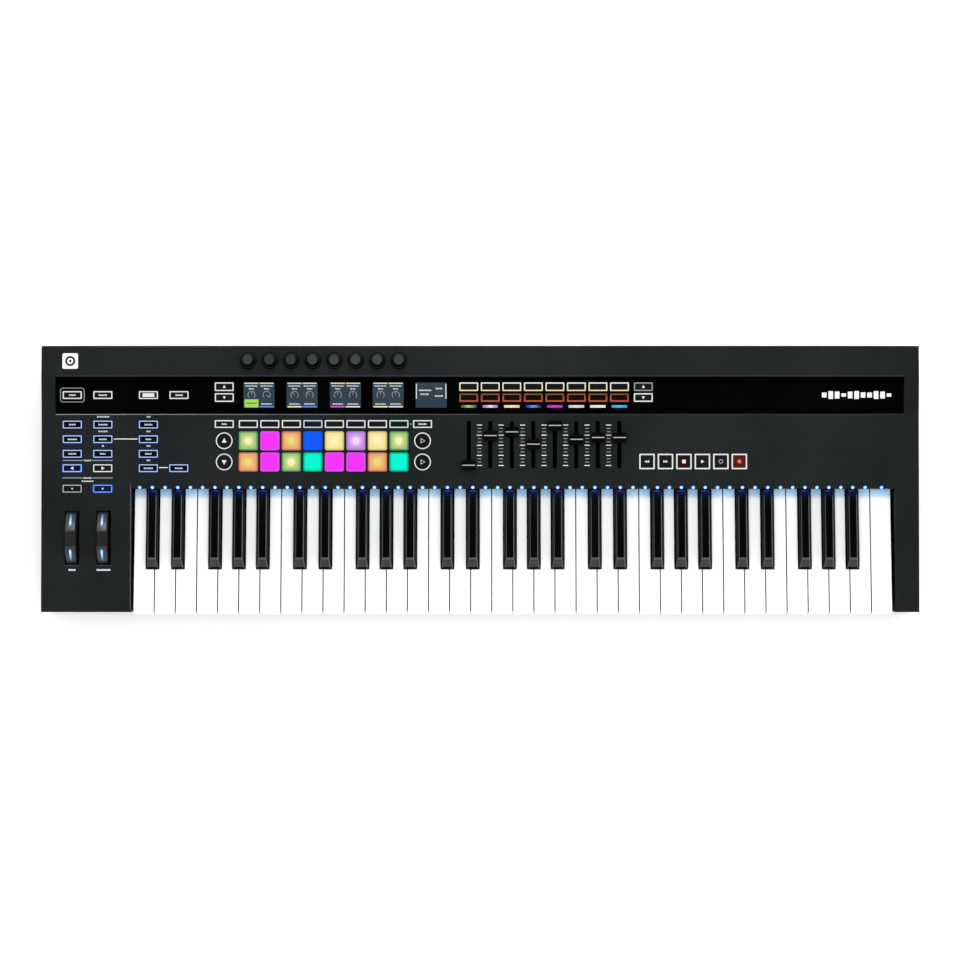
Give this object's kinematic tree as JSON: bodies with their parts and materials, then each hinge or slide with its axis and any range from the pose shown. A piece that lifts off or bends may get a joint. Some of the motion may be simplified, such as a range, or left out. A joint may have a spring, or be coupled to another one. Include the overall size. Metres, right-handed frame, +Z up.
{
  "type": "keyboard controller synthesizer",
  "caption": "Long flat keyboard instrument with a slim black case, piano keys, glowing pads, small screens, knobs, sliders, wheels and rear sockets.",
  "frame": {"origin": "middle of the footprint on the surface that the feet stand on", "axes": "+X along the keys to the treble end, +Y to the rear with the sockets, +Z up"},
  "size_m": [0.9744, 0.295, 0.1019],
  "materials": {
    "case_plastic": "satin, fine texture",
    "base_plastic": "matte, fine texture",
    "window_gloss": "polished",
    "screen_glass": "lit screen behind clear sheet",
    "frame_steel": "zinc plated",
    "board": "solder resist",
    "felt": "pressed wool felt",
    "light_bar": "smoked clear bar",
    "socket_plastic": "moulded",
    "foot_rubber": "matte",
    "key_white": "smooth",
    "key_black": "semi-matte",
    "wheel_rubber": "soft touch",
    "knob_rubber": "soft touch",
    "fader_plastic": "moulded",
    "button_rubber": "soft touch",
    "pad_silicone": "translucent silicone, lit from below",
    "switch_plastic": "moulded"
  },
  "bodies": {
    "case": {"top_case": "case_plastic", "bottom_case": "base_plastic", "display_window": "window_gloss", "display_board": "screen_glass", "key_frame": "frame_steel", "key_contact_board": "board", "key_light_bar": "light_bar", "main_board": "board", "encoder_board": "board", "jack_board": "socket_plastic", "wheel_bracket": "base_plastic", "key_felt": "felt", "foot_1": "foot_rubber", "foot_2": "foot_rubber", "foot_3": "foot_rubber", "foot_4": "foot_rubber"},
    "white_keys_ceg_1": {"white_keys_ceg_1": "key_white"},
    "white_keys_dfa_1": {"white_keys_dfa_1": "key_white"},
    "black_keys_1": {"black_keys_1": "key_black"},
    "white_keys_ceg_2": {"white_keys_ceg_2": "key_white"},
    "white_keys_dfa_2": {"white_keys_dfa_2": "key_white"},
    "black_keys_2": {"black_keys_2": "key_black"},
    "white_keys_ceg_3": {"white_keys_ceg_3": "key_white"},
    "white_keys_dfa_3": {"white_keys_dfa_3": "key_white"},
    "black_keys_3": {"black_keys_3": "key_black"},
    "white_keys_ceg_4": {"white_keys_ceg_4": "key_white"},
    "white_keys_dfa_4": {"white_keys_dfa_4": "key_white"},
    "black_keys_4": {"black_keys_4": "key_black"},
    "white_keys_ceg_5": {"white_keys_ceg_5": "key_white"},
    "white_keys_dfa_5": {"white_keys_dfa_5": "key_white"},
    "black_keys_5": {"black_keys_5": "key_black"},
    "white_key_top_c": {"white_key_top_c": "key_white"},
    "pitch_wheel": {"pitch_wheel": "wheel_rubber"},
    "mod_wheel": {"mod_wheel": "wheel_rubber"},
    "encoder_knob_1": {"encoder_knob_1": "knob_rubber"},
    "encoder_knob_2": {"encoder_knob_2": "knob_rubber"},
    "encoder_knob_3": {"encoder_knob_3": "knob_rubber"},
    "encoder_knob_4": {"encoder_knob_4": "knob_rubber"},
    "encoder_knob_5": {"encoder_knob_5": "knob_rubber"},
    "encoder_knob_6": {"encoder_knob_6": "knob_rubber"},
    "encoder_knob_7": {"encoder_knob_7": "knob_rubber"},
    "encoder_knob_8": {"encoder_knob_8": "knob_rubber"},
    "fader_1": {"fader_1": "fader_plastic"},
    "fader_2": {"fader_2": "fader_plastic"},
    "fader_3": {"fader_3": "fader_plastic"},
    "fader_4": {"fader_4": "fader_plastic"},
    "fader_5": {"fader_5": "fader_plastic"},
    "fader_6": {"fader_6": "fader_plastic"},
    "fader_7": {"fader_7": "fader_plastic"},
    "fader_8": {"fader_8": "fader_plastic"},
    "page_buttons": {"page_buttons": "button_rubber"},
    "screen_arrows": {"screen_arrows": "button_rubber"},
    "soft_buttons": {"soft_buttons": "button_rubber"},
    "left_buttons": {"left_buttons": "button_rubber"},
    "pad_function_buttons": {"pad_function_buttons": "button_rubber"},
    "transport_buttons": {"transport_buttons": "button_rubber"},
    "pads_rear_row": {"pads_rear_row": "pad_silicone"},
    "pads_front_row": {"pads_front_row": "pad_silicone"},
    "power_switch": {"power_switch": "switch_plastic"}
  },
  "joints": [
    {"name": "white_keys_ceg_1_press", "type": "hinge", "parent": "case", "child": "white_keys_ceg_1", "pos_m": [0, 0.0476, 0.052], "axis": [1, 0, 0], "range_deg": [0, 3], "stiffness_Nm_per_rad": 3.6, "springref_deg": -9.17},
    {"name": "white_keys_dfa_1_press", "type": "hinge", "parent": "case", "child": "white_keys_dfa_1", "pos_m": [0, 0.0376, 0.046], "axis": [1, 0, 0], "range_deg": [0, 3], "stiffness_Nm_per_rad": 2.8, "springref_deg": -9.17},
    {"name": "black_keys_1_press", "type": "hinge", "parent": "case", "child": "black_keys_1", "pos_m": [0, 0.0275, 0.0588], "axis": [1, 0, 0], "range_deg": [0, 3.4], "stiffness_Nm_per_rad": 2.6, "springref_deg": -9.17},
    {"name": "white_keys_ceg_2_press", "type": "hinge", "parent": "case", "child": "white_keys_ceg_2", "pos_m": [0, 0.0476, 0.052], "axis": [1, 0, 0], "range_deg": [0, 3], "stiffness_Nm_per_rad": 3.6, "springref_deg": -9.17},
    {"name": "white_keys_dfa_2_press", "type": "hinge", "parent": "case", "child": "white_keys_dfa_2", "pos_m": [0, 0.0376, 0.046], "axis": [1, 0, 0], "range_deg": [0, 3], "stiffness_Nm_per_rad": 2.8, "springref_deg": -9.17},
    {"name": "black_keys_2_press", "type": "hinge", "parent": "case", "child": "black_keys_2", "pos_m": [0, 0.0275, 0.0588], "axis": [1, 0, 0], "range_deg": [0, 3.4], "stiffness_Nm_per_rad": 2.6, "springref_deg": -9.17},
    {"name": "white_keys_ceg_3_press", "type": "hinge", "parent": "case", "child": "white_keys_ceg_3", "pos_m": [0, 0.0476, 0.052], "axis": [1, 0, 0], "range_deg": [0, 3], "stiffness_Nm_per_rad": 3.6, "springref_deg": -9.17},
    {"name": "white_keys_dfa_3_press", "type": "hinge", "parent": "case", "child": "white_keys_dfa_3", "pos_m": [0, 0.0376, 0.046], "axis": [1, 0, 0], "range_deg": [0, 3], "stiffness_Nm_per_rad": 2.8, "springref_deg": -9.17},
    {"name": "black_keys_3_press", "type": "hinge", "parent": "case", "child": "black_keys_3", "pos_m": [0, 0.0275, 0.0588], "axis": [1, 0, 0], "range_deg": [0, 3.4], "stiffness_Nm_per_rad": 2.6, "springref_deg": -9.17},
    {"name": "white_keys_ceg_4_press", "type": "hinge", "parent": "case", "child": "white_keys_ceg_4", "pos_m": [0, 0.0476, 0.052], "axis": [1, 0, 0], "range_deg": [0, 3], "stiffness_Nm_per_rad": 3.6, "springref_deg": -9.17},
    {"name": "white_keys_dfa_4_press", "type": "hinge", "parent": "case", "child": "white_keys_dfa_4", "pos_m": [0, 0.0376, 0.046], "axis": [1, 0, 0], "range_deg": [0, 3], "stiffness_Nm_per_rad": 2.8, "springref_deg": -9.17},
    {"name": "black_keys_4_press", "type": "hinge", "parent": "case", "child": "black_keys_4", "pos_m": [0, 0.0275, 0.0588], "axis": [1, 0, 0], "range_deg": [0, 3.4], "stiffness_Nm_per_rad": 2.6, "springref_deg": -9.17},
    {"name": "white_keys_ceg_5_press", "type": "hinge", "parent": "case", "child": "white_keys_ceg_5", "pos_m": [0, 0.0476, 0.052], "axis": [1, 0, 0], "range_deg": [0, 3], "stiffness_Nm_per_rad": 3.6, "springref_deg": -9.17},
    {"name": "white_keys_dfa_5_press", "type": "hinge", "parent": "case", "child": "white_keys_dfa_5", "pos_m": [0, 0.0376, 0.046], "axis": [1, 0, 0], "range_deg": [0, 3], "stiffness_Nm_per_rad": 2.8, "springref_deg": -9.17},
    {"name": "black_keys_5_press", "type": "hinge", "parent": "case", "child": "black_keys_5", "pos_m": [0, 0.0275, 0.0588], "axis": [1, 0, 0], "range_deg": [0, 3.4], "stiffness_Nm_per_rad": 2.6, "springref_deg": -9.17},
    {"name": "white_key_top_c_press", "type": "hinge", "parent": "case", "child": "white_key_top_c", "pos_m": [0, 0.0476, 0.052], "axis": [1, 0, 0], "range_deg": [0, 3], "stiffness_Nm_per_rad": 1, "springref_deg": -9.17},
    {"name": "pitch_wheel_turn", "type": "hinge", "parent": "case", "child": "pitch_wheel", "pos_m": [-0.4537, -0.06226, 0.04524], "axis": [1, 0, 0], "range_deg": [-35, 35], "stiffness_Nm_per_rad": 0.12},
    {"name": "mod_wheel_turn", "type": "hinge", "parent": "case", "child": "mod_wheel", "pos_m": [-0.4188, -0.06226, 0.04524], "axis": [1, 0, 0], "range_deg": [-35, 35]},
    {"name": "encoder_knob_1_turn", "type": "hinge", "parent": "case", "child": "encoder_knob_1", "pos_m": [-0.2575, 0.1305, 0.08921], "axis": [0, -0.061, 0.9981], "continuous": true},
    {"name": "encoder_knob_2_turn", "type": "hinge", "parent": "case", "child": "encoder_knob_2", "pos_m": [-0.2336, 0.1305, 0.08921], "axis": [0, -0.061, 0.9981], "continuous": true},
    {"name": "encoder_knob_3_turn", "type": "hinge", "parent": "case", "child": "encoder_knob_3", "pos_m": [-0.2097, 0.1305, 0.08921], "axis": [0, -0.061, 0.9981], "continuous": true},
    {"name": "encoder_knob_4_turn", "type": "hinge", "parent": "case", "child": "encoder_knob_4", "pos_m": [-0.1858, 0.1305, 0.08921], "axis": [0, -0.061, 0.9981], "continuous": true},
    {"name": "encoder_knob_5_turn", "type": "hinge", "parent": "case", "child": "encoder_knob_5", "pos_m": [-0.1619, 0.1305, 0.08921], "axis": [0, -0.061, 0.9981], "continuous": true},
    {"name": "encoder_knob_6_turn", "type": "hinge", "parent": "case", "child": "encoder_knob_6", "pos_m": [-0.138, 0.1305, 0.08921], "axis": [0, -0.061, 0.9981], "continuous": true},
    {"name": "encoder_knob_7_turn", "type": "hinge", "parent": "case", "child": "encoder_knob_7", "pos_m": [-0.1141, 0.1305, 0.08921], "axis": [0, -0.061, 0.9981], "continuous": true},
    {"name": "encoder_knob_8_turn", "type": "hinge", "parent": "case", "child": "encoder_knob_8", "pos_m": [-0.0902, 0.1305, 0.08921], "axis": [0, -0.061, 0.9981], "continuous": true},
    {"name": "fader_1_slide", "type": "slide", "parent": "case", "child": "fader_1", "axis": [0, 0.9945, 0.1045], "range_m": [0, 0.04535]},
    {"name": "fader_2_slide", "type": "slide", "parent": "case", "child": "fader_2", "axis": [0, 0.9945, 0.1045], "range_m": [-0.03288, 0.01247]},
    {"name": "fader_3_slide", "type": "slide", "parent": "case", "child": "fader_3", "axis": [0, 0.9945, 0.1045], "range_m": [-0.037, 0.00835]},
    {"name": "fader_4_slide", "type": "slide", "parent": "case", "child": "fader_4", "axis": [0, 0.9945, 0.1045], "range_m": [-0.02343, 0.02192]},
    {"name": "fader_5_slide", "type": "slide", "parent": "case", "child": "fader_5", "axis": [0, 0.9945, 0.1045], "range_m": [-0.04414, 0.00121]},
    {"name": "fader_6_slide", "type": "slide", "parent": "case", "child": "fader_6", "axis": [0, 0.9945, 0.1045], "range_m": [-0.02876, 0.01659]},
    {"name": "fader_7_slide", "type": "slide", "parent": "case", "child": "fader_7", "axis": [0, 0.9945, 0.1045], "range_m": [-0.03077, 0.01458]},
    {"name": "fader_8_slide", "type": "slide", "parent": "case", "child": "fader_8", "axis": [0, 0.9945, 0.1045], "range_m": [-0.03077, 0.01458]},
    {"name": "page_buttons_press", "type": "slide", "parent": "case", "child": "page_buttons", "axis": [0, 0.1908, -0.9816], "range_m": [0, 0.0007], "stiffness_N_per_m": 600, "springref_m": -0.002},
    {"name": "screen_arrows_press", "type": "slide", "parent": "case", "child": "screen_arrows", "axis": [0, 0.1908, -0.9816], "range_m": [0, 0.0007], "stiffness_N_per_m": 600, "springref_m": -0.002},
    {"name": "soft_buttons_press", "type": "slide", "parent": "case", "child": "soft_buttons", "axis": [0, 0.1908, -0.9816], "range_m": [0, 0.0007], "stiffness_N_per_m": 600, "springref_m": -0.002},
    {"name": "left_buttons_press", "type": "slide", "parent": "case", "child": "left_buttons", "axis": [0, 0.1045, -0.9945], "range_m": [0, 0.0007], "stiffness_N_per_m": 600, "springref_m": -0.002},
    {"name": "pad_function_buttons_press", "type": "slide", "parent": "case", "child": "pad_function_buttons", "axis": [0, 0.1045, -0.9945], "range_m": [0, 0.0007], "stiffness_N_per_m": 600, "springref_m": -0.002},
    {"name": "transport_buttons_press", "type": "slide", "parent": "case", "child": "transport_buttons", "axis": [0, 0.1045, -0.9945], "range_m": [0, 0.0007], "stiffness_N_per_m": 600, "springref_m": -0.002},
    {"name": "pads_rear_row_press", "type": "slide", "parent": "case", "child": "pads_rear_row", "axis": [0, 0.1045, -0.9945], "range_m": [0, 0.0008], "stiffness_N_per_m": 600, "springref_m": -0.002},
    {"name": "pads_front_row_press", "type": "slide", "parent": "case", "child": "pads_front_row", "axis": [0, 0.1045, -0.9945], "range_m": [0, 0.0008], "stiffness_N_per_m": 600, "springref_m": -0.002},
    {"name": "power_switch_rock", "type": "hinge", "parent": "case", "child": "power_switch", "pos_m": [-0.118, 0.1395, 0.054], "axis": [1, 0, 0], "range_deg": [-2, 6]}
  ]
}
